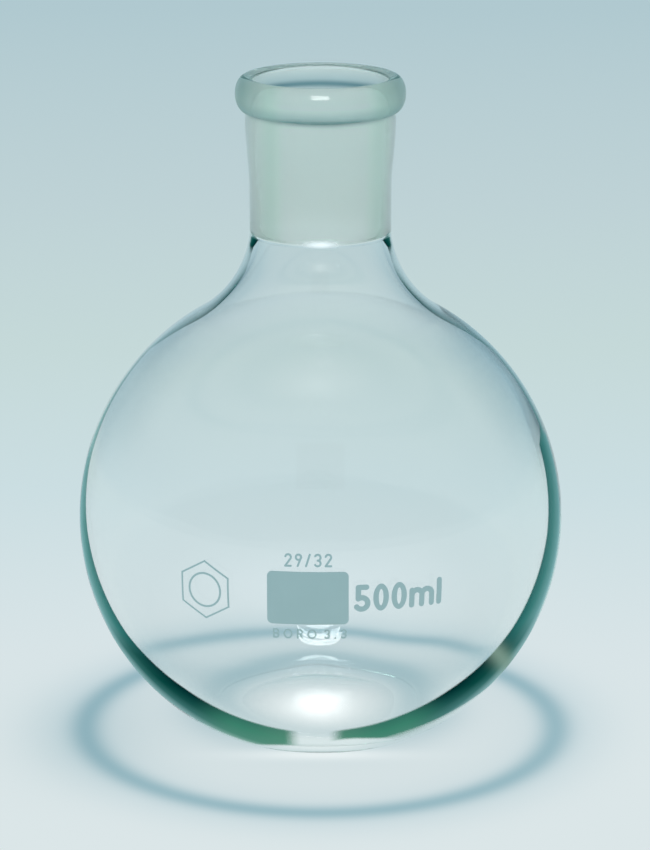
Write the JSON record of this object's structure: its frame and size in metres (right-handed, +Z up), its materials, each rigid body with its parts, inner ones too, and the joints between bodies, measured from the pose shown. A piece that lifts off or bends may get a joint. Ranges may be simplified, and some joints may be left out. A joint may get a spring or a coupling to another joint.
{
  "type": "laboratory flask",
  "caption": "Clear glass laboratory flask with a round bulb, flattened foot, short neck and conical ground socket with a rolled rim.",
  "frame": {"origin": "centre of the foot, on the plane of the bench the flask stands on", "axes": "+Z up along the neck, -Y towards the side that carries the enamel marks, +X to the right of a reader who faces the marks"},
  "size_m": [0.105, 0.1051, 0.1434],
  "materials": {
    "clear_glass": "fire-polished borosilicate glass, faintly blue-green at its edges",
    "ground_socket_glass": "borosilicate glass, fine ground on the inner cone and fire-polished outside and on the rim",
    "fired_enamel": "pale grey fired enamel, satin, slightly grainy"
  },
  "bodies": {
    "root": {"bulb": "clear_glass", "neck_socket": "ground_socket_glass", "writing_patch": "fired_enamel", "capacity_mark": "fired_enamel", "joint_size_mark": "fired_enamel", "glass_type_mark": "fired_enamel", "hexagon_mark": "fired_enamel"}
  },
  "joints": []
}
